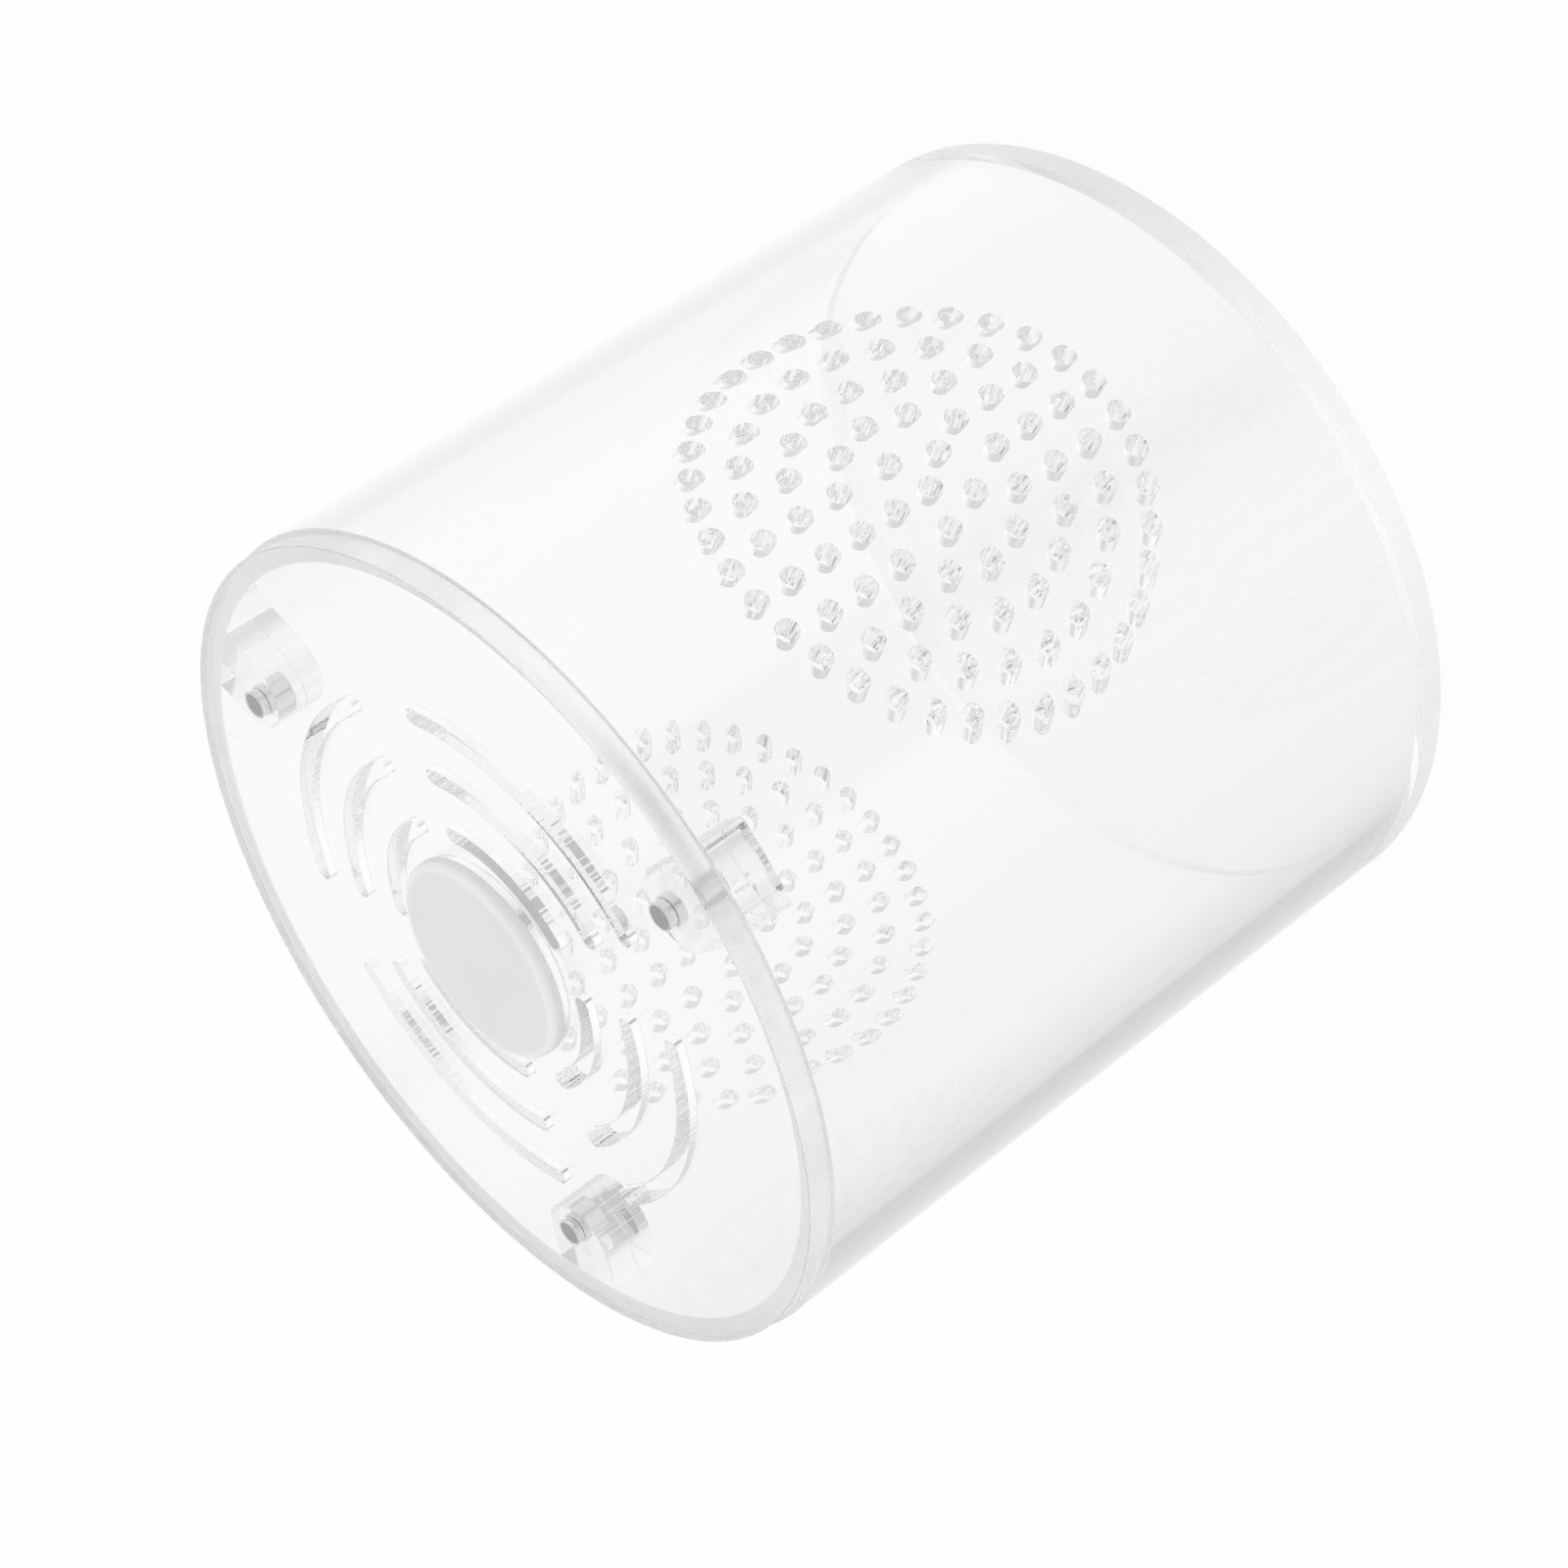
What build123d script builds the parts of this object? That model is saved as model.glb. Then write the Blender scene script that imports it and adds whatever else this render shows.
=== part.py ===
from build123d import *
from math import sqrt
import os

# A small round display enclosure for a jumping spider, standing upright.
# Millimetres and degrees. The base rests on z = 0, +Z is up along the tube's axis,
# and the middle of the front vent field faces -Y.

# Tube, base and lid
tube_radius = 50.5
tube_wall = 3.0
plate_thickness = 3.0
lid_radius = 50.0
body_height = 99.0
tube_bore_radius = tube_radius - tube_wall
rim_height = body_height - plate_thickness
edge_break = 0.15

# Vent fields, cut straight into the front and the back of the tube. Each hole narrows
# towards the bore, as a laser leaves it, and each cutter runs on past both surfaces.
vent_ring_counts = (1, 5, 12, 18, 24, 36)
vent_ring_pitch = 4.95
vent_mouth_radius = 1.4
vent_throat_radius = 1.15
vent_centre_height = body_height / 2
vent_cutter_overrun = 1.5

# Lid slots, three arcs in each of four groups, and the feeding hole
lid_turn = 4.5
slot_groups = 4
slot_radii = (16.0, 23.5, 31.0)
slot_width = 2.0
slot_span = 69.0
feed_hole_radius = 12.0

# Magnets, one pair at each of three stations, and the blocks that carry the lower ones
station_count = 3
magnet_pitch_radius = 40.4
lid_magnet_radius = 1.65
block_magnet_radius = 1.9
magnet_length = 3.0
magnet_chamfer = 0.2
block_width = 10.0
block_height = 6.5
block_tip_wall = 1.1
block_tip_radius = block_width / 2
block_tip_centre = magnet_pitch_radius - block_magnet_radius - block_tip_wall + block_tip_radius

# Feeding plug, a soft stopper whose narrow shoulder stops on the lid
plug_shoulder = 0.4
plug_head_radius = feed_hole_radius + plug_shoulder
plug_head_height = 1.7
plug_head_round = 0.9
plug_neck_clearance = 0.05
plug_neck_reach = 0.5


def disc(radius, thickness, bottom):
    """A flat round plate with both rims lightly broken."""
    plate = Pos(0, 0, bottom) * Cylinder(
        radius, thickness, align=(Align.CENTER, Align.CENTER, Align.MIN)
    )
    rims = plate.edges().filter_by(GeomType.CIRCLE)
    return chamfer(rims, edge_break)


def vent_places():
    """Hole centres of one vent field, as (across, up) from its middle."""
    places = []
    for ring, count in enumerate(vent_ring_counts):
        for step in range(count):
            spoke = Vector(0, ring * vent_ring_pitch).rotate(Axis.Z, 360 * step / count)
            places.append((spoke.X, spoke.Y))
    return places


def vent_cutter(across, up):
    """One hole of the front field, along Y: wide at the outer wall, narrow at the bore."""
    outer_depth = sqrt(tube_radius**2 - across**2)
    bore_depth = sqrt(tube_bore_radius**2 - across**2)
    flare = (vent_mouth_radius - vent_throat_radius) / (outer_depth - bore_depth)
    mouth = vent_mouth_radius + flare * vent_cutter_overrun
    throat = vent_throat_radius - flare * vent_cutter_overrun
    length = outer_depth - bore_depth + 2 * vent_cutter_overrun
    middle = (outer_depth + bore_depth) / 2
    return Pos(across, -middle, vent_centre_height + up) * Rot(90, 0, 0) * Cone(throat, mouth, length)


def make_tube():
    """The clear wall, with every vent hole parallel to the field's middle one."""
    ring = Circle(tube_radius) - Circle(tube_bore_radius)
    wall = Pos(0, 0, plate_thickness) * extrude(ring, rim_height - plate_thickness)
    front = [vent_cutter(across, up) for across, up in vent_places()]
    back = [Rot(0, 0, 180) * cutter for cutter in front]
    return wall - front - back


def station_angles():
    """Directions of the magnet stations about the axis."""
    return [lid_turn + 360 * index / station_count for index in range(station_count)]


def slot_outlines():
    """The lid's vent slots as flat outlines with round ends."""
    outlines = Sketch()
    for group in range(slot_groups):
        middle = lid_turn + 360 * group / slot_groups
        for radius in slot_radii:
            end_angle = Vector(radius, 0).get_angle(Vector(radius, slot_width / 2))
            run = slot_span - 2 * end_angle
            outlines += SlotArc(CenterArc((0, 0), radius, middle - run / 2, run), slot_width)
    return outlines


def make_lid():
    """The loose cover plate: feeding hole, slots and a through hole for each magnet."""
    cuts = slot_outlines() + Circle(feed_hole_radius)
    for angle in station_angles():
        cuts += Rot(0, 0, angle) * Pos(magnet_pitch_radius, 0) * Circle(lid_magnet_radius)
    plate = disc(lid_radius, plate_thickness, rim_height)
    return plate - Pos(0, 0, rim_height) * extrude(cuts, plate_thickness)


def make_block(angle):
    """A clear block on the tube's bore, round towards the axis, with a magnet pocket."""
    body_length = tube_radius - block_tip_centre
    outline = Pos(block_tip_centre, 0) * Circle(block_tip_radius)
    outline += Pos(block_tip_centre + body_length / 2, 0) * Rectangle(body_length, block_width)
    outline &= Circle(tube_bore_radius)
    block = Pos(0, 0, rim_height - block_height) * extrude(outline, block_height)
    pocket = Pos(magnet_pitch_radius, 0, rim_height) * Cylinder(
        block_magnet_radius, magnet_length, align=(Align.CENTER, Align.CENTER, Align.MAX)
    )
    return Rot(0, 0, angle) * (block - pocket)


def make_magnet(angle, top, radius):
    """A plated round magnet with bevelled rims, its top face at the given height."""
    magnet = Cylinder(radius, magnet_length, align=(Align.CENTER, Align.CENTER, Align.MAX))
    magnet = chamfer(magnet.edges().filter_by(GeomType.CIRCLE), magnet_chamfer)
    return Rot(0, 0, angle) * Pos(magnet_pitch_radius, 0, top) * magnet


def make_plug():
    """The soft plug: a low round-edged head, and a neck that fills the feeding hole."""
    neck_radius = feed_hole_radius - plug_neck_clearance
    head_top = body_height + plug_head_height
    neck_bottom = rim_height - plug_neck_reach
    profile = Polyline(
        (0, neck_bottom),
        (neck_radius - plug_neck_reach, neck_bottom),
        (neck_radius, rim_height),
        (neck_radius, body_height),
        (plug_head_radius, body_height),
        (plug_head_radius, head_top),
        (0, head_top),
        close=True,
    )
    plug = revolve(Plane.XZ * make_face(profile), Axis.Z)
    head_rim = plug.edges().filter_by(GeomType.CIRCLE).group_by(Axis.Z)[-1]
    return fillet(head_rim, plug_head_round)


parts = {
    "tube_wall": make_tube(),
    "base_plate": disc(tube_radius, plate_thickness, 0),
    "lid_plate": make_lid(),
    "feeding_plug": make_plug(),
}
for number, station_angle in enumerate(station_angles(), start=1):
    parts[f"magnet_block_{number}"] = make_block(station_angle)
    parts[f"block_magnet_{number}"] = make_magnet(station_angle, rim_height, block_magnet_radius)
    parts[f"lid_magnet_{number}"] = make_magnet(station_angle, body_height, lid_magnet_radius)

os.makedirs("parts", exist_ok=True)
for name, solid in parts.items():
    export_step(solid, f"parts/{name}.step")
    print(name, round(solid.volume, 1))
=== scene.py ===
"""The looks of a clear round spider enclosure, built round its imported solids.

The enclosure stands upright: +Z is up along the tube and the front vent field faces -Y.
Sizes in the classes are millimetres and degrees, and meshes are written in metres.
"""

import logging
import math
import random
from collections.abc import Sequence
from dataclasses import dataclass, field, replace
from enum import Enum

import bpy
from bpy.types import Material, Node, NodeSocket, Object
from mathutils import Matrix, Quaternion, Vector
from mathutils.geometry import delaunay_2d_cdt


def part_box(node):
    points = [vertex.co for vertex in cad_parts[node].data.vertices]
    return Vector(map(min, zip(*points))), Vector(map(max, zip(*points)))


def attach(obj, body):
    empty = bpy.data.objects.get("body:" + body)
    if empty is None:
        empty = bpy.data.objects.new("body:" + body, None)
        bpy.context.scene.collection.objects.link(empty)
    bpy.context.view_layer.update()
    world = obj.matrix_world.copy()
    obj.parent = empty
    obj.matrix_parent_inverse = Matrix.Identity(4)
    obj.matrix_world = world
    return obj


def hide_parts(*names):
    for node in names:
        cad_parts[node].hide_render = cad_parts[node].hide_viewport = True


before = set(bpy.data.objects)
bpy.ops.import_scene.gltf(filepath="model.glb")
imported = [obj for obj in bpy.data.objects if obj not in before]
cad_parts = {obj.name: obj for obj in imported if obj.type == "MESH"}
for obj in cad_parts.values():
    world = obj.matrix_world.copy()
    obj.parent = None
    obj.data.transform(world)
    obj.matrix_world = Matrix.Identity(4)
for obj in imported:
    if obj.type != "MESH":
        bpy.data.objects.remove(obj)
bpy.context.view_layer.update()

MM = 0.001
PER_METRE = 1000.0

# Faces that rest on each other stay this far apart, so that light finds one surface at a time
AIR_GAP = 0.02

# Corners that agree to one such part of a millimetre are one corner
POINT_GRID = 20000

# Flat points this near are one point, and a flat face whose normal is shorter has no area
SAME_POINT = 1e-5
NO_LENGTH = 1e-12

log = logging.getLogger("enclosure")

Point = tuple[float, float]
Outline = list[Point]

# An outline and its height
Ring = tuple[Outline, float]

# A round piece's half profile: radius and height, and the normal's lean out and up there
Profile = list[tuple[float, float, float, float]]

# What a node's inputs take, by name or number: a socket to link, or a value
Feeds = dict[str | int, object]


class Finish(Enum):
    """The finishes a face can take; the value is the material's name."""

    POLISHED = "polished_acrylic"
    CAST_CUT = "laser_cut_acrylic"
    RIM = "cut_rim_acrylic"
    SAWN = "sawn_rim_acrylic"
    BLOCK = "thick_block_acrylic"
    BASE = "base_sheet_acrylic"
    ARRIS = "rubbed_edge"
    DRILLED = "drilled_acrylic"
    WELDED = "welded_joint"
    NICKEL = "nickel_plate"
    # Darker nickel for the magnets' flat ends: rougher, and its darker colour is painted shade
    NICKEL_SHADED_FACE = "nickel_face_painted_shade"
    SILICONE = "milky_silicone"
    # Lighter silicone for the plug's sides and rounded rim: painted light that lifts their shade
    SILICONE_LIT_EDGE = "milky_silicone_painted_light_edge"
    FLOOR = "studio_floor"


class Slot(Enum):
    """The record's material slots."""

    ACRYLIC = "clear_acrylic"
    SILICONE = "soft_silicone"
    MAGNET = "plated_magnet"


def box_size(node: str) -> tuple[Vector, Vector]:
    """Measure a node's box.

    Args:
        node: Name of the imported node.

    Returns:
        Its lowest and highest corners at rest, in millimetres.
    """
    low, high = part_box(node)
    return low * PER_METRE, high * PER_METRE


def polar(radius: float, degrees: float) -> Point:
    """Return the flat point at that radius and direction from the axis."""
    turn = math.radians(degrees)
    return radius * math.cos(turn), radius * math.sin(turn)


def turned(point: Point, degrees: float) -> Point:
    """Return the flat point turned about the axis."""
    turn = math.radians(degrees)
    across, up = point
    return (
        across * math.cos(turn) - up * math.sin(turn),
        across * math.sin(turn) + up * math.cos(turn),
    )


@dataclass
class NodeTree:
    """A small hand for wiring a material's or a world's nodes."""

    tree: bpy.types.NodeTree

    def add(self, kind: str, feeds: Feeds | None = None, **settings: object) -> Node:
        """Add a node.

        Args:
            kind: The node's type name.
            feeds: What its inputs take.
            **settings: Properties to set on it.

        Returns:
            The new node.
        """
        node = self.tree.nodes.new(kind)
        for name, value in settings.items():
            setattr(node, name, value)
        self.feed(node, feeds or {})
        return node

    def feed(self, node: Node, feeds: Feeds) -> None:
        """Link or set a node's inputs.

        Args:
            node: The node.
            feeds: What its inputs take.
        """
        for name, value in feeds.items():
            if isinstance(value, NodeSocket):
                self.tree.links.new(value, node.inputs[name])
            else:
                node.inputs[name].default_value = value

    def sums(self, operation: str, *terms: object) -> NodeSocket:
        """Return the result of a sum with numbers or sockets."""
        return self.add("ShaderNodeMath", dict(enumerate(terms)), operation=operation).outputs[0]

    def blend(self, kind: str, share: NodeSocket, first: object, second: object) -> NodeSocket:
        """Return a blend of two values, with that share of the second."""
        feeds = {"Factor": share, "A": first, "B": second}
        return self.add("ShaderNodeMix", feeds, data_type=kind).outputs["Result"]

    def mix(self, share: object, first: Node, second: Node) -> Node:
        """Return a mix of two shaders, with that share of the second."""
        feeds = {"Fac": share, 1: first.outputs[0], 2: second.outputs[0]}
        return self.add("ShaderNodeMixShader", feeds)

    def noise(self, scale: float, detail: float = 2.0) -> NodeSocket:
        """Add noise that is fixed to the piece.

        Args:
            scale: Its size, in cells a millimetre.
            detail: How many finer layers it has.

        Returns:
            The noise's height.
        """
        place = self.add("ShaderNodeTexCoord").outputs["Object"]
        feeds = {"Vector": place, "Scale": scale * PER_METRE, "Detail": detail}
        return self.add("ShaderNodeTexNoise", feeds).outputs["Fac"]

    def dented(self, height: NodeSocket, strength: float, depth: float) -> NodeSocket:
        """Return the normal of a skin dented by a height, so many millimetres deep."""
        feeds = {"Height": height, "Strength": strength, "Distance": depth * MM}
        return self.add("ShaderNodeBump", feeds).outputs["Normal"]


def begin(finish: Finish) -> tuple[Material, NodeTree, Node]:
    """Start a finish's material.

    Args:
        finish: The finish, which names it.

    Returns:
        The material, its nodes and its shader.
    """
    made = bpy.data.materials.new(finish.value)
    made.use_nodes = True
    return made, NodeTree(made.node_tree), made.node_tree.nodes["Principled BSDF"]


@dataclass(frozen=True)
class ClearAcrylic:
    """Clear acrylic, polished or as the cutter left it."""

    finish: Finish
    tint: tuple[float, float, float] = (0.995, 0.997, 0.996)
    roughness: float = 0.0
    refraction: float = 1.49
    clear_share: float = 1.0
    shadow_clear: float = 0.985

    def material(self) -> Material:
        """Build the material.

        Returns:
            A glass-like material whose shadows let most of the light through.
        """
        made, nodes, shader = begin(self.finish)
        surface = {
            "Base Color": (*self.tint, 1.0),
            "Roughness": self.roughness,
            "IOR": self.refraction,
            "Transmission Weight": self.clear_share,
        }
        nodes.feed(shader, surface)
        passing = nodes.add("ShaderNodeBsdfTransparent", {"Color": (*[self.shadow_clear] * 3, 1.0)})
        shadow = nodes.add("ShaderNodeLightPath").outputs["Is Shadow Ray"]
        either = nodes.mix(shadow, shader, passing)
        nodes.feed(made.node_tree.nodes["Material Output"], {"Surface": either.outputs["Shader"]})
        return made


@dataclass(frozen=True)
class SolventJoint:
    """Where two clear pieces are joined with solvent and light crosses as in one piece."""

    finish: Finish = Finish.WELDED

    def material(self) -> Material:
        """Build the material.

        Returns:
            A fully clear material that bends nothing.
        """
        made, nodes, shader = begin(self.finish)
        nodes.feed(shader, {"Base Color": (1.0, 1.0, 1.0, 1.0), "Alpha": 0.0})
        return made


@dataclass(frozen=True)
class NickelPlate:
    """Bright nickel on a small pressed magnet, a little uneven."""

    finish: Finish = Finish.NICKEL
    colour: tuple[float, float, float] = (0.72, 0.715, 0.70)
    roughness_low: float = 0.05
    roughness_high: float = 0.16
    wear_scale: float = 1.0
    wear_detail: float = 4.0
    dent_strength: float = 0.15
    dent_depth: float = 0.01

    def material(self) -> Material:
        """Build the material.

        Returns:
            A metal whose polish varies over a fraction of a millimetre.
        """
        made, nodes, shader = begin(self.finish)
        wear = nodes.noise(self.wear_scale, self.wear_detail)
        spread = {"Value": wear, "To Min": self.roughness_low, "To Max": self.roughness_high}
        surface = {
            "Base Color": (*self.colour, 1.0),
            "Metallic": 1.0,
            "Roughness": nodes.add("ShaderNodeMapRange", spread).outputs["Result"],
            "Normal": nodes.dented(wear, self.dent_strength, self.dent_depth),
        }
        nodes.feed(shader, surface)
        return made


@dataclass(frozen=True)
class MilkySilicone:
    """Soft silicone: milky, a little light shows through it, with a satin skin."""

    finish: Finish = Finish.SILICONE
    colour: tuple[float, float, float] = (0.77, 0.77, 0.765)
    deep_colour: tuple[float, float, float] = (0.73, 0.73, 0.728)
    roughness: float = 0.45
    refraction: float = 1.41
    scatter: float = 0.6
    depth: float = 1.2
    cloud_scale: float = 0.12
    skin_scale: float = 3.0
    skin_strength: float = 0.1
    skin_depth: float = 0.02

    def material(self) -> Material:
        """Build the material.

        Returns:
            A material that scatters light under its skin.
        """
        made, nodes, shader = begin(self.finish)
        cloud = nodes.noise(self.cloud_scale)
        tones = (*self.deep_colour, 1.0), (*self.colour, 1.0)
        skin = nodes.noise(self.skin_scale)
        surface = {
            "Base Color": nodes.blend("RGBA", cloud, *tones),
            "Roughness": self.roughness,
            "IOR": self.refraction,
            "Subsurface Weight": self.scatter,
            "Subsurface Radius": (1.0, 1.0, 1.0),
            "Subsurface Scale": self.depth * MM,
            "Normal": nodes.dented(skin, self.skin_strength, self.skin_depth),
        }
        nodes.feed(shader, surface)
        return made


@dataclass
class Draft:
    """One piece's faces, gathered with the true normal at each corner."""

    name: str
    finishes: tuple[Finish, ...]
    points: list[Vector] = field(default_factory=list)
    places: dict[tuple[int, int, int], int] = field(default_factory=dict)
    faces: list[tuple[int, ...]] = field(default_factory=list)
    normals: list[Vector] = field(default_factory=list)
    face_finishes: list[int] = field(default_factory=list)

    def point(self, across: float, along: float, up: float) -> int:
        """Keep a point once.

        Args:
            across: X in millimetres.
            along: Y in millimetres.
            up: Z in millimetres.

        Returns:
            Its number in the mesh.
        """
        key = (round(across * POINT_GRID), round(along * POINT_GRID), round(up * POINT_GRID))
        if key not in self.places:
            self.places[key] = len(self.points)
            self.points.append(Vector((across, along, up)))
        return self.places[key]

    def face(self, corners: list[Vector], normals: list[Vector], finish: Finish) -> None:
        """Add a face, wound so that it looks along its normals.

        Args:
            corners: Its corners in order, in millimetres.
            normals: The surface's normal at each corner.
            finish: The finish it takes.
        """
        numbers = [self.point(*corner) for corner in corners]
        kept = [i for i, n in enumerate(numbers) if n != numbers[i - 1]]
        if len(kept) < 3:
            return
        numbers = [numbers[i] for i in kept]
        normals = [normals[i] for i in kept]
        a, b, c = (self.points[n] for n in (numbers[0], numbers[1], numbers[-1]))
        if (b - a).cross(c - a).dot(normals[0]) < 0:
            numbers.reverse()
            normals.reverse()
        self.faces.append(tuple(numbers))
        self.normals.extend(normals)
        self.face_finishes.append(self.finishes.index(finish))

    def flat(self, corners: list[Vector], finish: Finish, sense: int = 1) -> None:
        """Add a face with its flat normal, on its anticlockwise side where sense is 1."""
        normal = (corners[1] - corners[0]).cross(corners[-1] - corners[0]) * sense
        if normal.length > NO_LENGTH:
            self.face(corners, [normal.normalized()] * len(corners), finish)

    def curved(self, corners: list[Vector], finish: Finish, sense: int) -> None:
        """Add a face of a round upright wall, which looks out where sense is 1."""
        normals = [Vector((c.x, c.y, 0)).normalized() * sense for c in corners]
        self.face(corners, normals, finish)

    def cover(self, loops: list[Outline], height: float, finish: Finish, sense: int = 1) -> None:
        """Cover the level area between outlines.

        Args:
            loops: Closed outlines; the first holds the others, which are holes.
            height: Its height.
            finish: The finish it takes.
            sense: 1 where it looks up, -1 where it looks down.
        """
        for triangle in fill(loops):
            corners = [Vector((*point, height)) for point in triangle]
            self.face(corners, [Vector((0, 0, sense))] * 3, finish)

    def band(self, first: Ring, second: Ring, finish: Finish, sense: int = 1) -> None:
        """Add a band of flat faces between two rings.

        Args:
            first: One ring.
            second: The other, with as many corners.
            finish: The finish it takes.
            sense: 1 where a band that rises to the second ring looks out, -1 where in.
        """
        (low, z_low), (high, z_high) = first, second
        for i in range(len(low)):
            j = (i + 1) % len(low)
            quad = (*low[i], z_low), (*low[j], z_low), (*high[j], z_high), (*high[i], z_high)
            self.flat([Vector(corner) for corner in quad], finish, sense)

    def build(self, materials: dict[Finish, Material]) -> Object:
        """Make the mesh object.

        Args:
            materials: The material of each finish.

        Returns:
            The new object, in metres.
        """
        mesh = bpy.data.meshes.new(self.name)
        mesh.from_pydata([p * MM for p in self.points], [], self.faces)
        for finish in self.finishes:
            mesh.materials.append(materials[finish])
        mesh.polygons.foreach_set("material_index", self.face_finishes)
        mesh.polygons.foreach_set("use_smooth", [True] * len(self.faces))
        mesh.normals_split_custom_set(self.normals)
        mesh.update()
        made = bpy.data.objects.new(self.name, mesh)
        bpy.context.scene.collection.objects.link(made)
        return made


def fill(loops: list[Outline], inner: Sequence[Point] = ()) -> list[list[Point]]:
    """Cover the flat area between outlines with triangles.

    Args:
        loops: Closed outlines, anticlockwise; the first holds the others, which are holes.
        inner: Further points that the triangles meet at.

    Returns:
        The triangles, as three flat points each.
    """
    points = []
    faces = []
    for loop in loops:
        faces.append(list(range(len(points), len(points) + len(loop))))
        points += loop
    points += inner
    triangles_inside = 1
    flat = [Vector(p) for p in points]
    found = delaunay_2d_cdt(flat, [], faces, triangles_inside, SAME_POINT)
    _, _, made, sources, _, owners = found
    outside_holes = [0]
    kept = [face for face, own in zip(made, owners) if own == outside_holes]
    return [[points[sources[n][0]] for n in face] for face in kept]


@dataclass(frozen=True)
class CutPath:
    """A closed laser-cut outline, made of short flats as the cutter steps along it."""

    step: float
    wander: float
    seed: int
    slip: float = 0.3
    fewest: int = 12
    fewest_at_tip: int = 4

    def circle(self, centre: Point, radius: float, inset: float = 0.0) -> Outline:
        """Lay out a cut circle.

        Args:
            centre: Its middle.
            radius: Its radius.
            inset: How far the outline is drawn towards the middle, for a broken edge.

        Returns:
            Its corners, each a hair off the true circle.
        """
        rolls = random.Random(self.seed)
        count = max(self.fewest, round(math.tau * radius / self.step))
        corners = []
        for i in range(count):
            reach = radius - rolls.uniform(0, 2 * self.wander) - inset
            slip = rolls.uniform(-self.slip, self.slip)
            x, y = polar(reach, 360 * (i + slip) / count)
            corners.append((centre[0] + x, centre[1] + y))
        return corners

    def arc_slot(
        self, radius: float, width: float, middle: float, span: float, inset: float = 0.0
    ) -> Outline:
        """Lay out a slot that follows an arc about the axis, with round ends.

        Args:
            radius: Radius of its middle line.
            width: Its width.
            middle: Direction of its middle, in degrees.
            span: Angle between its two tips.
            inset: How far the outline is drawn inwards.

        Returns:
            Its corners in order.
        """
        rolls = random.Random(self.seed)
        half = width / 2
        end_turn = math.degrees(half / radius)
        run = span / 2 - end_turn
        corners = []
        for side, start, stop in ((1, -run, run), (-1, run, -run)):
            reach = radius + side * half
            count = round(math.radians(2 * run) * reach / self.step)
            for i in range(count + 1):
                off = side * (rolls.uniform(-self.wander, self.wander) - inset)
                slip = rolls.uniform(-self.slip, self.slip) if 0 < i < count else 0.0
                turn = start + (stop - start) * (i + slip) / count
                corners.append(polar(reach + off, middle + turn))
            tip = polar(radius, middle + stop)
            steps = max(self.fewest_at_tip, round(math.pi * half / self.step))
            for i in range(1, steps):
                swing = 180 * i / steps + (0 if side > 0 else 180)
                x, y = polar(half - inset, middle + stop + swing)
                corners.append((tip[0] + x, tip[1] + y))
        return corners


@dataclass
class Plate:
    """A flat clear plate with laser-cut edges all round."""

    name: str
    bottom: float
    top: float
    rim: float
    edge_break: float = 0.07
    rim_path: CutPath = CutPath(step=0.35, wander=0.0006, seed=11)

    def cuts(self, inset: float) -> list[Outline]:
        """Return the outlines cut through the plate."""
        return []

    def wall_finish(self, number: int) -> Finish:
        """Return the finish of the wall along that outline, the rim's being number 0."""
        return Finish.CAST_CUT if number else Finish.RIM

    def outlines(self, inset: float) -> list[Outline]:
        """Return the rim and the cuts, drawn back by inset from the plate's faces."""
        return [self.rim_path.circle((0, 0), self.rim, inset), *self.cuts(-inset)]

    def draft(self) -> Draft:
        """Shape the plate.

        Returns:
            Its faces: two polished sides and the cut walls with broken edges.
        """
        finishes = (Finish.POLISHED, Finish.CAST_CUT, Finish.RIM, Finish.ARRIS, Finish.WELDED)
        drawn = Draft(self.name, finishes)
        face_loops = self.outlines(self.edge_break)
        wall_loops = self.outlines(0.0)
        drawn.cover(face_loops, self.bottom, Finish.POLISHED, -1)
        drawn.cover(face_loops, self.top, Finish.POLISHED)
        levels = (
            (face_loops, self.bottom),
            (wall_loops, self.bottom + self.edge_break),
            (wall_loops, self.top - self.edge_break),
            (face_loops, self.top),
        )
        for (loops_a, z_a), (loops_b, z_b) in zip(levels, levels[1:]):
            for number, (loop_a, loop_b) in enumerate(zip(loops_a, loops_b)):
                finish = self.wall_finish(number) if loops_a is loops_b else Finish.ARRIS
                drawn.band((loop_a, z_a), (loop_b, z_b), finish, -1 if number else 1)
        return drawn


@dataclass
class BasePlate(Plate):
    """The disc under the tube, whose top is welded to the tube's lower rim."""

    weld_inner: float = 47.5
    seam_sides: int = 360

    def draft(self) -> Draft:
        """Shape the disc.

        Returns:
            Its faces: a polished floor, the welded ring round it, the rim and the underside.
        """
        drawn = Draft(self.name, (Finish.BASE, Finish.ARRIS, Finish.WELDED))
        under = self.outlines(self.edge_break)[0]
        rim = self.outlines(0.0)[0]
        seam = [polar(self.weld_inner, 360 * i / self.seam_sides) for i in range(self.seam_sides)]
        drawn.cover([under], self.bottom, Finish.BASE, -1)
        drawn.cover([seam], self.top, Finish.BASE)
        drawn.cover([rim, seam], self.top, Finish.WELDED)
        level = self.bottom + self.edge_break
        drawn.band((under, self.bottom), (rim, level), Finish.ARRIS)
        drawn.band((rim, level), (rim, self.top), Finish.ARRIS)
        return drawn


@dataclass
class Stations:
    """Where the magnets sit about the axis."""

    turn: float = 4.5
    count: int = 3
    pitch_radius: float = 40.4
    lid_magnet_radius: float = 1.65
    block_magnet_radius: float = 1.9
    block_width: float = 10.0

    def angles(self) -> list[float]:
        """Return the stations' directions."""
        return [self.turn + 360 * i / self.count for i in range(self.count)]

    def centres(self) -> list[Point]:
        """Return the magnets' middles."""
        return [polar(self.pitch_radius, angle) for angle in self.angles()]


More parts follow.
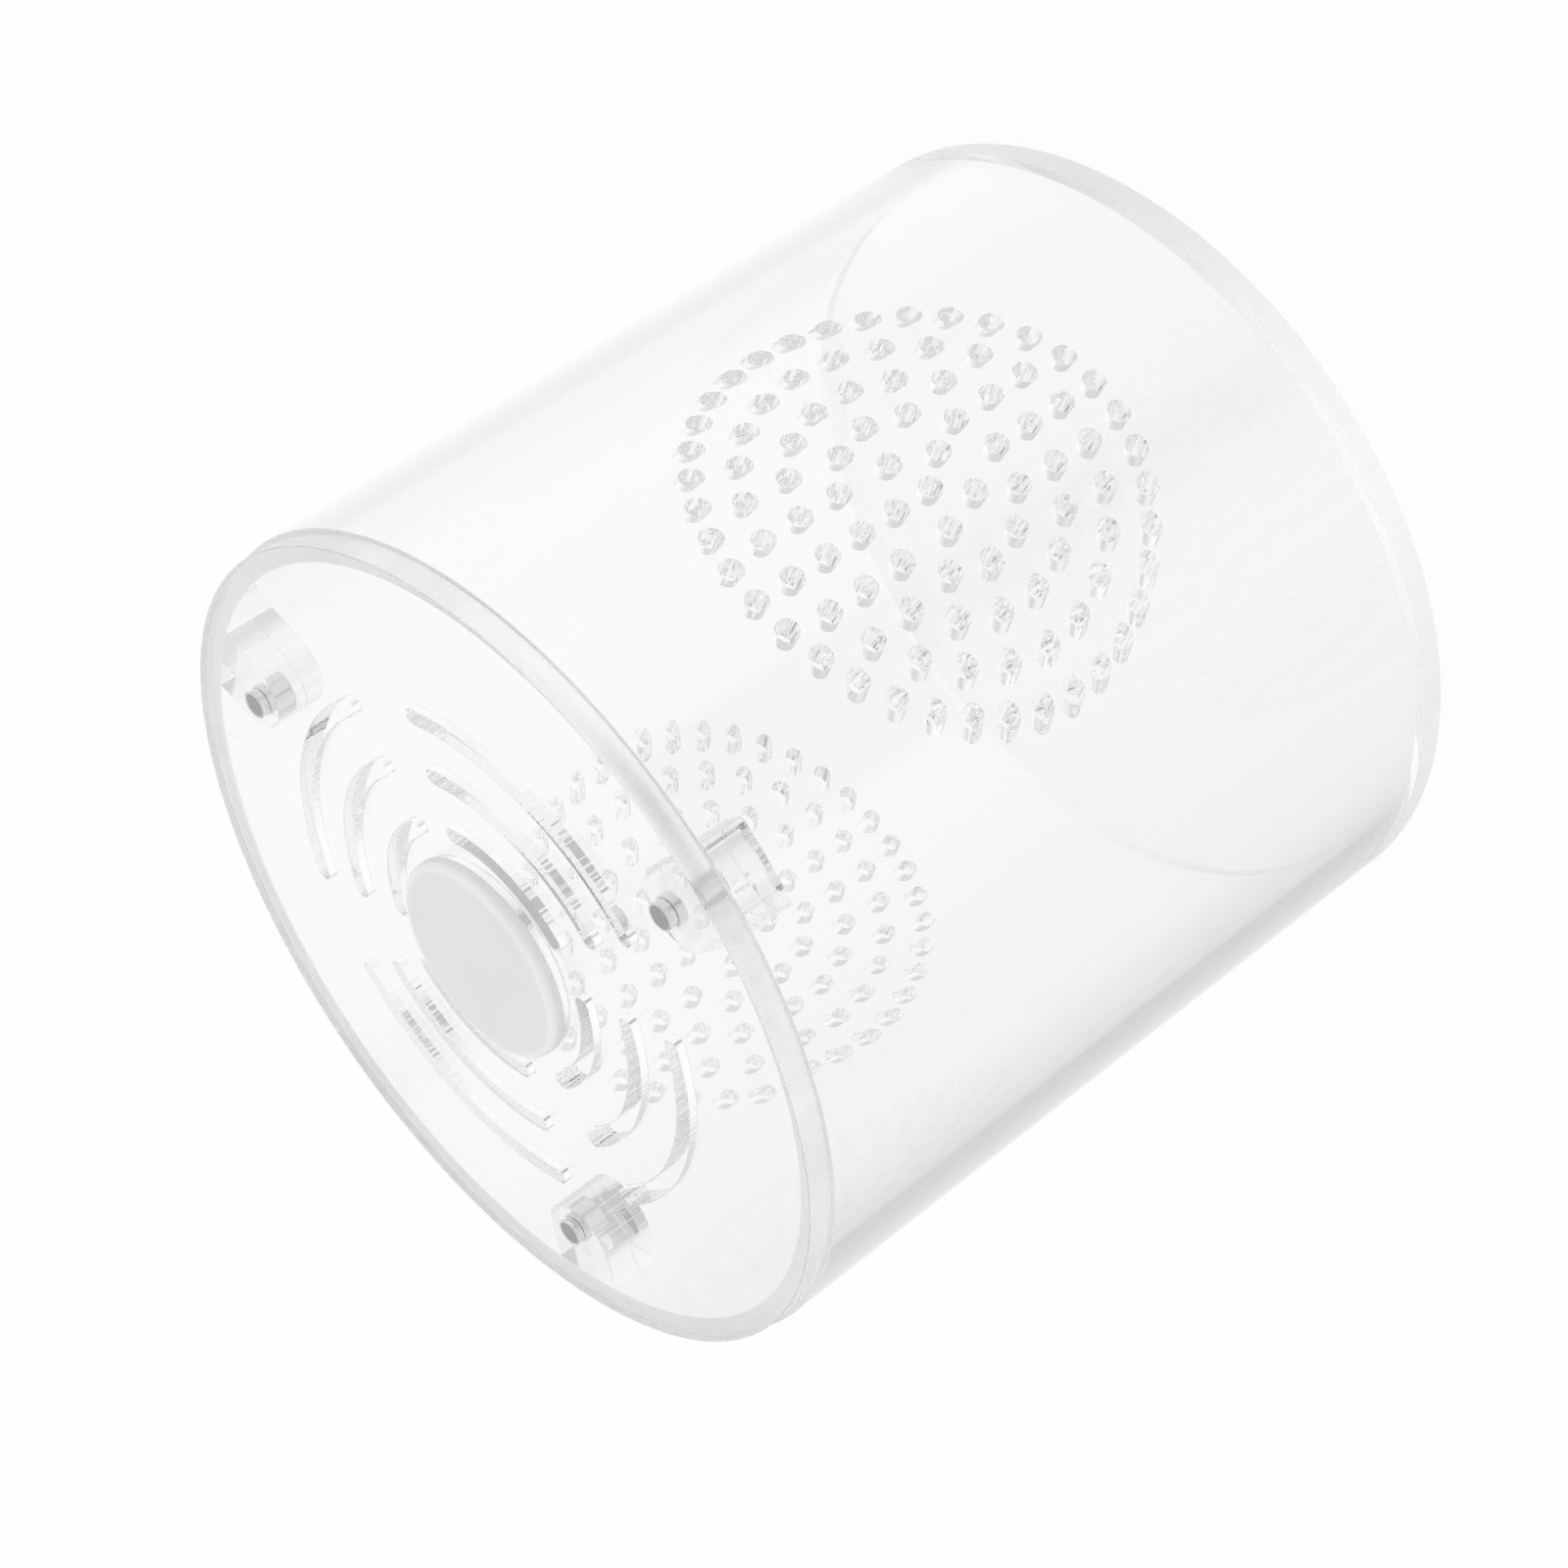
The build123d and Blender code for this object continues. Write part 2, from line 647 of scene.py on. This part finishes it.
@dataclass
class LidPlate(Plate):
    """The loose cover: arc slots in groups, the feeding hole and the magnets' holes."""

    stations: Stations = field(default_factory=Stations)
    slot_groups: int = 4
    slot_radii: tuple[float, ...] = (16.0, 23.5, 31.0)
    slot_width: float = 2.0
    slot_span: float = 69.0
    feed_radius: float = 12.0
    slot_path: CutPath = CutPath(step=0.3, wander=0.016, seed=100)
    feed_path: CutPath = CutPath(step=0.5, wander=0.004, seed=5)
    magnet_path: CutPath = CutPath(step=0.4, wander=0.004, seed=50)

    def wall_finish(self, number: int) -> Finish:
        """Return the finish of the wall along that outline; glue fills the magnets' holes."""
        glued = number > self.slot_groups * len(self.slot_radii) + 1
        return Finish.WELDED if glued else super().wall_finish(number)

    def cuts(self, inset: float) -> list[Outline]:
        """Lay out what is cut through the lid.

        Args:
            inset: How far each outline is drawn inwards.

        Returns:
            The closed outlines.
        """
        found = []
        for group in range(self.slot_groups):
            middle = self.stations.turn + 360 * group / self.slot_groups
            for row, radius in enumerate(self.slot_radii):
                path = replace(self.slot_path, seed=self.slot_path.seed + 10 * group + row)
                found.append(path.arc_slot(radius, self.slot_width, middle, self.slot_span, inset))
        found.append(self.feed_path.circle((0, 0), self.feed_radius, inset))
        for number, centre in enumerate(self.stations.centres()):
            path = replace(self.magnet_path, seed=self.magnet_path.seed + number)
            found.append(path.circle(centre, self.stations.lid_magnet_radius, inset))
        return found


@dataclass
class VentField:
    """Rings of small holes, all cut along Y, each narrower at the bore."""

    centre_height: float
    ring_counts: tuple[int, ...] = (1, 5, 12, 18, 24, 36)
    ring_pitch: float = 4.95
    mouth_radius: float = 1.4
    throat_radius: float = 1.15
    facets: int = 32
    wander: float = 0.008
    slip: float = 0.3

    def centres(self) -> list[Point]:
        """Return the holes' middles as seen along Y, as (x, z)."""
        found = []
        for ring, count in enumerate(self.ring_counts):
            for i in range(count):
                across, up = polar(ring * self.ring_pitch, 90 + 360 * i / count)
                found.append((across, self.centre_height + up))
        return found

    def loops(self, radius: float, seed: int) -> list[Outline]:
        """Lay out the holes as seen along Y.

        Args:
            radius: The holes' radius at the surface that they are cut in.
            seed: Start of the small unevenness of the cut walls.

        Returns:
            One outline a hole, as (x, z) corners; the same seed gives matching corners.
        """
        rolls = random.Random(seed)
        found = []
        for across, height in self.centres():
            corners = []
            for i in range(self.facets):
                slip = rolls.uniform(-self.slip, self.slip)
                reach = radius - rolls.uniform(0, 2 * self.wander)
                x, z = polar(reach, 360 * (i + slip) / self.facets)
                corners.append((across + x, height + z))
            found.append(corners)
        return found

    def reach(self) -> float:
        """Return the half width of the field, holes included."""
        return (len(self.ring_counts) - 1) * self.ring_pitch + self.mouth_radius


@dataclass
class TubeWall:
    """The clear tube, with its two vent fields cut straight through the wall."""

    radius: float
    bore: float
    bottom: float
    top: float
    vents: VentField
    margin: float = 2.0
    column: float = 0.8
    row: float = 2.0
    side_step: float = 0.7
    edge_break: float = 0.07
    hole_clearance: float = 0.25
    cut_seed: int = 7

    def half_patch(self) -> float:
        """Return half the width of the stretch of wall that holds a vent field."""
        return self.vents.reach() + self.margin

    def patch_columns(self) -> list[float]:
        """Return the x places across a vent field's stretch of wall."""
        half = self.half_patch()
        count = round(2 * half / self.column)
        return [half * (2 * i / count - 1) for i in range(count + 1)]

    def ring(self, radius: float) -> list[Point]:
        """Lay out the wall's corners round the tube.

        Args:
            radius: Radius of the circle they lie on.

        Returns:
            Flat points, anticlockwise from the left of the front vents; the outer and the
            inner ring have the same number.
        """
        front = [(x, -math.sqrt(radius**2 - x**2)) for x in self.patch_columns()]
        edge = math.degrees(math.acos(self.half_patch() / radius))
        outer_edge = math.degrees(math.acos(self.half_patch() / self.radius))
        count = round(2 * outer_edge / self.side_step)
        side = [polar(radius, edge * (2 * i / count - 1)) for i in range(1, count)]
        half_ring = front + side
        return half_ring + [(-x, -y) for x, y in half_ring]

    def draft(self) -> Draft:
        """Shape the tube.

        Returns:
            Its faces: both walls with their holes, the hole walls and the two rims.
        """
        finishes = (Finish.POLISHED, Finish.DRILLED, Finish.SAWN, Finish.ARRIS, Finish.WELDED)
        drawn = Draft("clear_tube", finishes)
        self.add_sides(drawn)
        for facing in (-1, 1):
            self.add_vents(drawn, facing)
        self.add_rims(drawn)
        return drawn

    def levels(self) -> tuple[float, float]:
        """Return the heights where both walls start and end."""
        return self.bottom, self.top - self.edge_break

    def add_sides(self, drawn: Draft) -> None:
        """Add the plain stretches of wall between the vent fields."""
        start, end = self.levels()
        patch = len(self.patch_columns()) - 1
        for radius, sense in ((self.radius, 1), (self.bore, -1)):
            ring = self.ring(radius)
            for i, a in enumerate(ring):
                if i % (len(ring) // 2) >= patch:
                    b = ring[(i + 1) % len(ring)]
                    quad = ((*a, start), (*b, start), (*b, end), (*a, end))
                    drawn.curved([Vector(c) for c in quad], Finish.POLISHED, sense)

    def add_vents(self, drawn: Draft, facing: int) -> None:
        """Add a vent field's stretch of wall.

        Args:
            drawn: The draft that takes the faces.
            facing: -1 for the front field, 1 for the back one.
        """
        start, end = self.levels()
        mouths = self.vents.loops(self.vents.mouth_radius, self.cut_seed + facing)
        throats = self.vents.loops(self.vents.throat_radius, self.cut_seed + facing)
        columns = self.patch_columns()
        border = [(x, start) for x in columns] + [(x, end) for x in reversed(columns)]
        between = self.inner_points(start, end)
        for radius, sense, holes in ((self.radius, 1, mouths), (self.bore, -1, throats)):
            for triangle in fill([border, *holes], between):
                corners = [self.on_wall(x, z, radius, facing) for x, z in triangle]
                drawn.curved(corners, Finish.POLISHED, sense)
        for mouth, throat in zip(mouths, throats):
            for i in range(self.vents.facets):
                ends = (i, (i + 1) % self.vents.facets)
                outer = [self.on_wall(*mouth[end], self.radius, facing) for end in ends]
                inner = [self.on_wall(*throat[end], self.bore, facing) for end in ends]
                drawn.flat([*outer, *reversed(inner)], Finish.DRILLED)

    def inner_points(self, low: float, high: float) -> list[Point]:
        """Return points between the holes that keep the triangles small."""
        clear = self.vents.mouth_radius + self.hole_clearance
        centres = self.vents.centres()
        rows = int((high - low) / self.row)
        found = []
        for x in self.patch_columns()[1:-1]:
            for step in range(1, rows):
                z = low + step * (high - low) / rows
                if all((x - a) ** 2 + (z - b) ** 2 > clear**2 for a, b in centres):
                    found.append((x, z))
        return found

    @staticmethod
    def on_wall(across: float, height: float, radius: float, facing: int) -> Vector:
        """Return the point of a wall of that radius at (across, height), front or back."""
        depth = math.sqrt(radius**2 - across**2)
        return Vector((-facing * across, facing * depth, height))

    def add_rims(self, drawn: Draft) -> None:
        """Add the welded rim at the foot, and the open one with its broken edges."""
        outer, inner = self.ring(self.radius), self.ring(self.bore)
        outer_rim = self.ring_at(outer, -self.edge_break), self.top
        inner_rim = self.ring_at(inner, self.edge_break), self.top
        foot, end = self.levels()
        drawn.band((outer, foot), (inner, foot), Finish.WELDED, -1)
        drawn.band(outer_rim, inner_rim, Finish.SAWN)
        drawn.band((outer, end), outer_rim, Finish.ARRIS)
        drawn.band((inner, end), inner_rim, Finish.ARRIS, -1)

    @staticmethod
    def ring_at(ring: list[Point], offset: float) -> list[Point]:
        """Return the ring moved out from the axis by offset."""
        found = []
        for x, y in ring:
            scale = 1 + offset / math.hypot(x, y)
            found.append((x * scale, y * scale))
        return found


@dataclass
class MagnetBlock(Plate):
    """A clear block at the tube's mouth, with a blind pocket for its magnet."""

    angle: float = 0.0
    bore: float = 47.5
    tip_wall: float = 1.1
    pocket_depth: float = 3.0
    back_steps: int = 12
    step: float = 0.4
    side_wander: float = 0.01
    tip_wander: float = 0.008
    pocket_path: CutPath = CutPath(step=0.4, wander=0.004, seed=70)
    stations: Stations = field(default_factory=Stations)

    def body_outline(self, inset: float) -> Outline:
        """Lay out the block: its back on the bore first, and round towards the axis.

        Args:
            inset: How far the free sides are drawn into the material.

        Returns:
            Its corners, turned to the block's station.
        """
        rolls = random.Random(round(self.angle))
        width = self.stations.block_width
        half = width / 2 - inset
        nearest = self.stations.pitch_radius - self.stations.block_magnet_radius - self.tip_wall
        tip_centre = nearest + width / 2
        reach = self.bore - AIR_GAP
        back_turn = math.degrees(math.asin(half / reach))
        shares = [i / self.back_steps for i in range(self.back_steps + 1)]
        corners = [polar(reach, -back_turn + 2 * back_turn * share) for share in shares]
        side_run = corners[-1][0] - tip_centre
        side_steps = round((self.bore - tip_centre) / self.step)
        for i in range(1, side_steps):
            x = corners[self.back_steps][0] - side_run * i / side_steps
            corners.append((x, half + rolls.uniform(-self.side_wander, self.side_wander)))
        tip_steps = round(math.pi * width / 2 / self.step)
        for i in range(tip_steps + 1):
            off = rolls.uniform(-self.tip_wander, self.tip_wander)
            x, y = polar(half + off, 90 + 180 * i / tip_steps)
            corners.append((tip_centre + x, y))
        for i in range(1, side_steps):
            x = tip_centre + side_run * i / side_steps
            corners.append((x, -half + rolls.uniform(-self.side_wander, self.side_wander)))
        return [turned(p, self.angle) for p in corners]

    def draft(self) -> Draft:
        """Shape the block.

        Returns:
            Its faces: the sides, a top round the pocket, and the pocket's wall and floor.
        """
        drawn = Draft(self.name, (Finish.BLOCK, Finish.CAST_CUT, Finish.ARRIS, Finish.WELDED))
        shrunk = self.body_outline(self.edge_break)
        full = self.body_outline(0.0)
        centre = polar(self.stations.pitch_radius, self.angle)
        path = replace(self.pocket_path, seed=self.pocket_path.seed + round(self.angle))
        pocket = path.circle(centre, self.stations.block_magnet_radius)
        floor = self.top - self.pocket_depth
        drawn.cover([shrunk], self.bottom, Finish.BLOCK, -1)
        drawn.cover([shrunk, pocket], self.top, Finish.BLOCK)
        drawn.cover([pocket], floor, Finish.WELDED)
        low, high = self.bottom + self.edge_break, self.top - self.edge_break
        drawn.band((shrunk, self.bottom), (full, low), Finish.ARRIS)
        drawn.band((full, low), (full, high), Finish.CAST_CUT)
        drawn.band((full, high), (shrunk, self.top), Finish.ARRIS)
        drawn.band((pocket, floor), (pocket, self.top), Finish.WELDED, -1)
        return drawn


@dataclass
class Turned:
    """A turned or moulded round piece, from its half profile."""

    name: str
    finish: Finish
    centre: Point
    profile: Profile
    segments: int = 96
    end_finish: Finish | None = None

    def draft(self) -> Draft:
        """Shape the piece.

        Returns:
            Its faces, with the second finish on the flat ends.
        """
        ends = self.end_finish or self.finish
        drawn = Draft(self.name, (self.finish, ends))
        for below, above in zip(self.profile, self.profile[1:]):
            if below[:2] == above[:2]:
                continue
            for i in range(self.segments):
                turns = (360 * i / self.segments, 360 * (i + 1) / self.segments)
                quad = ((below, turns[0]), (below, turns[1]), (above, turns[1]), (above, turns[0]))
                corners = []
                normals = []
                for (radius, height, out, up), turn in quad:
                    x, y = polar(radius, turn)
                    corners.append(Vector((self.centre[0] + x, self.centre[1] + y, height)))
                    nx, ny = polar(out, turn)
                    normals.append(Vector((nx, ny, up)).normalized())
                flat_end = below[1] == above[1]
                drawn.face(corners, normals, ends if flat_end else self.finish)
        return drawn


def quarter_round(reach: float, level: float, radius: float, start: int, steps: int) -> Profile:
    """Lay out a quarter round of a half profile.

    Args:
        reach: Distance of its middle from the axis.
        level: Height of its middle.
        radius: Its radius.
        start: Where it starts, in degrees up from pointing out.
        steps: How many flats it has.

    Returns:
        Its part of the half profile, upwards.
    """
    leans = [polar(1.0, start + 90 * i / steps) for i in range(steps + 1)]
    return [(reach + radius * out, level + radius * up, out, up) for out, up in leans]


@dataclass
class Magnet:
    """The shape of a pressed magnet with rolled rims."""

    radius: float
    bottom: float
    top: float
    bevel: float = 0.2
    steps: int = 6

    def profile(self) -> Profile:
        """Lay out the magnet.

        Returns:
            Its half profile, from the lower face to the upper one.
        """
        core, bevel = self.radius - self.bevel, self.bevel
        return [
            (0.0, self.bottom, 0.0, -1.0),
            (core, self.bottom, 0.0, -1.0),
            *quarter_round(core, self.bottom + bevel, bevel, -90, self.steps),
            *quarter_round(core, self.top - bevel, bevel, 0, self.steps),
            (0.0, self.top, 0.0, 1.0),
        ]


@dataclass
class Plug:
    """The shape of the soft plug: a neck with a lead-in, a shoulder and a rounded head."""

    bottom: float
    lid_bottom: float
    shoulder: float
    top: float
    head: float
    neck: float
    lead_in: float = 0.5
    rounding: float = 0.9
    steps: int = 10

    def profile(self) -> Profile:
        """Lay out the plug.

        Returns:
            Its half profile, from the lower face to the upper one.
        """
        foot = self.neck - self.lead_in
        found = [
            (0.0, self.bottom, 0.0, -1.0),
            (foot, self.bottom, 0.0, -1.0),
            (foot, self.bottom, 0.7, -0.7),
            (self.neck, self.lid_bottom, 0.7, -0.7),
            (self.neck, self.lid_bottom, 1.0, 0.0),
            (self.neck, self.shoulder, 1.0, 0.0),
            (self.neck, self.shoulder, 0.0, -1.0),
            (self.head, self.shoulder, 0.0, -1.0),
            (self.head, self.shoulder, 1.0, 0.0),
        ]
        crown, level = self.head - self.rounding, self.top - self.rounding
        found += quarter_round(crown, level, self.rounding, 0, self.steps)
        return [*found, (0.0, self.top, 0.0, 1.0)]


@dataclass
class Studio:
    """The camera at the photograph's angle, soft light, and a white floor."""

    lens: float = 87.81
    sensor: float = 36.0
    eye: tuple[float, float, float] = (-107.06, -365.18, 265.90)
    aim: tuple[float, float, float] = (-1.85, 3.79, 55.22)
    roll: float = 124.546
    nearest: float = 10.0
    farthest: float = 50000.0
    floor_radius: float = 4000.0
    floor_sides: int = 64
    floor_drop: float = 0.02
    floor_tone: float = 0.9
    floor_share: float = 0.92
    bounces: int = 128
    clear_layers: int = 64
    overhead: float = 0.95
    ceiling_start: float = 0.5
    ceiling_full: float = 0.8
    wall_tones: tuple[tuple[float, float], ...] = (
        (-180, 0.99), (-144, 1.0), (-122, 0.95), (-108, 0.84), (-102, 0.45), (-90, 0.45),
        (-84, 0.84), (-68, 0.9), (-54, 0.98), (-28, 0.93), (0, 1.0), (24, 1.0),
        (30, 0.91), (36, 0.85), (44, 0.89), (52, 0.92), (60, 1.0), (66, 0.96),
        (76, 0.95), (80, 0.91), (88, 0.83), (96, 0.72), (104, 0.7), (114, 0.64),
        (124, 0.7), (132, 0.78), (140, 0.9), (148, 0.97), (164, 1.0), (180, 0.99),
    )

    def camera(self) -> Object:
        """Set the camera up.

        Returns:
            The scene's camera.
        """
        data = bpy.data.cameras.new("camera")
        data.lens = self.lens
        data.sensor_width = self.sensor
        data.clip_start = self.nearest * MM
        data.clip_end = self.farthest * MM
        made = bpy.data.objects.new("camera", data)
        bpy.context.scene.collection.objects.link(made)
        sight = (Vector(self.aim) - Vector(self.eye)).normalized()
        upright = sight.to_track_quat("-Z", "Y")
        made.rotation_mode = "QUATERNION"
        made.rotation_quaternion = Quaternion(sight, math.radians(self.roll)) @ upright
        made.location = Vector(self.eye) * MM
        bpy.context.scene.camera = made
        return made

    def floor(self) -> Object:
        """Lay the floor that the enclosure stands on.

        Returns:
            The floor.
        """
        sides = range(self.floor_sides)
        rim = [polar(self.floor_radius, 360 * i / self.floor_sides) for i in sides]
        mesh = bpy.data.meshes.new("floor")
        mesh.from_pydata([Vector((*p, -self.floor_drop)) * MM for p in rim], [], [tuple(sides)])
        made = bpy.data.objects.new("floor", mesh)
        bpy.context.scene.collection.objects.link(made)
        mesh.materials.append(self.floor_material())
        return made

    def floor_material(self) -> Material:
        """Build the floor's white, which takes the object's shadow.

        Returns:
            A material that is plain white with the object's shadow where the camera sees
            it, and that all other light passes, so the room's even white comes from below too.
        """
        made = bpy.data.materials.new(Finish.FLOOR.value)
        made.use_nodes = True
        nodes = NodeTree(made.node_tree)
        made.node_tree.nodes.clear()
        matt = nodes.add("ShaderNodeBsdfDiffuse", {"Color": (*[self.floor_tone] * 3, 1.0)})
        glow = nodes.add("ShaderNodeEmission", {"Strength": 1.0})
        white = nodes.mix(self.floor_share, matt, glow)
        seen = nodes.add("ShaderNodeLightPath").outputs["Is Camera Ray"]
        both = nodes.mix(seen, nodes.add("ShaderNodeBsdfTransparent"), white)
        nodes.add("ShaderNodeOutputMaterial", {"Surface": both.outputs["Shader"]})
        return made

    def light(self) -> None:
        """Light the room: even white, with soft grey panels that clear and bright pieces show."""
        world = bpy.data.worlds.new("white_room")
        bpy.context.scene.world = world
        world.use_nodes = True
        nodes = NodeTree(world.node_tree)
        world.node_tree.nodes.clear()
        place = nodes.add("ShaderNodeTexCoord").outputs["Generated"]
        parts = nodes.add("ShaderNodeSeparateXYZ", {"Vector": place}).outputs
        turn = nodes.sums("ARCTAN2", parts["Y"], parts["X"])
        share = nodes.sums("MULTIPLY_ADD", turn, 1 / math.tau, 0.5)
        panels = nodes.add("ShaderNodeValToRGB", {"Fac": share})
        panels.color_ramp.interpolation = "LINEAR"
        stops = panels.color_ramp.elements
        stops.remove(stops[1])
        for number, (direction, tone) in enumerate(self.wall_tones):
            stop = stops.new((direction + 180) / 360) if number else stops[0]
            stop.color = (tone, tone, tone, 1.0)
        span = {"From Min": self.ceiling_start, "From Max": self.ceiling_full}
        rise = nodes.add("ShaderNodeMapRange", span, interpolation_type="SMOOTHSTEP")
        nodes.feed(rise, {"Value": parts["Z"]})
        walls = panels.outputs["Color"]
        room = nodes.blend("FLOAT", rise.outputs["Result"], walls, self.overhead)
        path = nodes.add("ShaderNodeLightPath").outputs
        through = nodes.sums("MAXIMUM", path["Is Glossy Ray"], path["Is Transmission Ray"])
        strength = nodes.blend("FLOAT", through, 1.0, room)
        white = {"Color": (1.0, 1.0, 1.0, 1.0), "Strength": strength}
        light = nodes.add("ShaderNodeBackground", white)
        nodes.add("ShaderNodeOutputWorld", {"Surface": light.outputs["Background"]})

    def colour(self) -> None:
        """Keep the picture's colours as written, and let light pass all the clear walls."""
        scene = bpy.context.scene
        scene.view_settings.view_transform = "Standard"
        scene.cycles.max_bounces = self.bounces
        scene.cycles.transmission_bounces = self.bounces
        scene.cycles.glossy_bounces = self.bounces
        scene.cycles.transparent_max_bounces = self.clear_layers


@dataclass
class Enclosure:
    """The whole piece list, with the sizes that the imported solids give."""

    stations: Stations = field(default_factory=Stations)
    neck_clearance: float = 0.05
    materials: dict[Finish, Material] = field(default_factory=dict)

    def dress(self) -> None:
        """Make every finish."""
        finishes = (
            ClearAcrylic(Finish.POLISHED),
            ClearAcrylic(Finish.CAST_CUT, tint=(0.94, 0.942, 0.943), roughness=0.03),
            ClearAcrylic(Finish.RIM, roughness=0.25, clear_share=0.75),
            ClearAcrylic(Finish.SAWN, tint=(0.7, 0.7, 0.705), roughness=0.35),
            ClearAcrylic(Finish.BLOCK, tint=(0.93, 0.932, 0.933)),
            ClearAcrylic(Finish.BASE, tint=(0.966, 0.968, 0.968)),
            ClearAcrylic(Finish.ARRIS, roughness=0.45),
            ClearAcrylic(Finish.DRILLED, tint=(0.94, 0.942, 0.943), roughness=0.015),
            SolventJoint(),
            NickelPlate(),
            # The magnets' flat ends are rougher nickel, and their darker colour is painted shade
            NickelPlate(
                Finish.NICKEL_SHADED_FACE, (0.36, 0.36, 0.355), roughness_low=0.25, roughness_high=0.4
            ),
            MilkySilicone(),
            # A lighter copy of the silicone for the plug's sides and rounded rim: painted light
            MilkySilicone(
                Finish.SILICONE_LIT_EDGE, (0.81, 0.81, 0.805), deep_colour=(0.78, 0.78, 0.775)
            ),
        )
        self.materials = {made.finish: made.material() for made in finishes}

    def place(self, drawn: Draft, body: str, node: str, slot: Slot) -> Object:
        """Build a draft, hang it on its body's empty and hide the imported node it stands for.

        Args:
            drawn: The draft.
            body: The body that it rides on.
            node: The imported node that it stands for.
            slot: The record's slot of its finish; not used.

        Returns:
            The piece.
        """
        made = drawn.build(self.materials)
        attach(made, body)
        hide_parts(node)
        log.info("%s: %d faces on %s", made.name, len(made.data.polygons), body)
        return made

    def build_tube(self) -> None:
        """Build the tube's wall."""
        low, high = box_size("tube_wall")
        radius = high.x
        wall = low.z
        vents = VentField(centre_height=box_size("lid_plate")[1].z / 2)
        tube = TubeWall(radius, radius - wall, low.z, high.z - AIR_GAP, vents)
        self.place(tube.draft(), "enclosure", "tube_wall", Slot.ACRYLIC)

    def build_plates(self) -> None:
        """Build the base and the lid."""
        low, high = box_size("base_plate")
        base = BasePlate("clear_base", low.z, high.z, high.x)
        self.place(base.draft(), "enclosure", "base_plate", Slot.ACRYLIC)
        low, high = box_size("lid_plate")
        lid = LidPlate("slotted_lid", low.z, high.z, high.x, stations=self.stations)
        self.place(lid.draft(), "lid", "lid_plate", Slot.ACRYLIC)

    def build_stations(self) -> None:
        """Build the blocks and both magnets of every station."""
        for number, angle in enumerate(self.stations.angles(), start=1):
            low, high = box_size(f"magnet_block_{number}")
            name = f"clear_block_{number}"
            top = high.z - AIR_GAP
            block = MagnetBlock(name, low.z, top, rim=0.0, angle=angle, stations=self.stations)
            self.place(block.draft(), "enclosure", f"magnet_block_{number}", Slot.ACRYLIC)
            centre = polar(self.stations.pitch_radius, angle)
            magnets = (
                ("block", "enclosure", self.stations.block_magnet_radius),
                ("lid", "lid", self.stations.lid_magnet_radius),
            )
            for kind, body, radius in magnets:
                node = f"{kind}_magnet_{number}"
                low, high = box_size(node)
                shape = Magnet(radius - AIR_GAP, low.z + AIR_GAP, high.z - AIR_GAP)
                name = f"{kind}_nickel_magnet_{number}"
                # The flat ends take the darker nickel, whose colour is painted shade
                magnet = Turned(
                    name, Finish.NICKEL, centre, shape.profile(), end_finish=Finish.NICKEL_SHADED_FACE
                )
                self.place(magnet.draft(), body, node, Slot.MAGNET)

    def build_plug(self) -> None:
        """Build the soft plug."""
        low, high = box_size("feeding_plug")
        lid_low, lid_high = box_size("lid_plate")
        shape = Plug(
            bottom=low.z,
            lid_bottom=lid_low.z,
            shoulder=lid_high.z + AIR_GAP,
            top=high.z,
            head=high.x,
            neck=LidPlate.feed_radius - self.neck_clearance,
        )
        # The plug's sides and rounded rim take the lighter silicone, which is painted light; its
        # flat ends take the plain one
        plug = Turned(
            "silicone_plug",
            Finish.SILICONE_LIT_EDGE,
            (0.0, 0.0),
            shape.profile(),
            segments=160,
            end_finish=Finish.SILICONE,
        )
        self.place(plug.draft(), "plug", "feeding_plug", Slot.SILICONE)


def main() -> None:
    """Build the studio and every piece, in order."""
    logging.basicConfig(level=logging.INFO, format="%(message)s")
    studio = Studio()
    studio.colour()
    studio.light()
    studio.camera()
    studio.floor()
    enclosure = Enclosure()
    enclosure.dress()
    enclosure.build_tube()
    enclosure.build_plates()
    enclosure.build_stations()
    enclosure.build_plug()


if __name__ == "__main__":
    main()
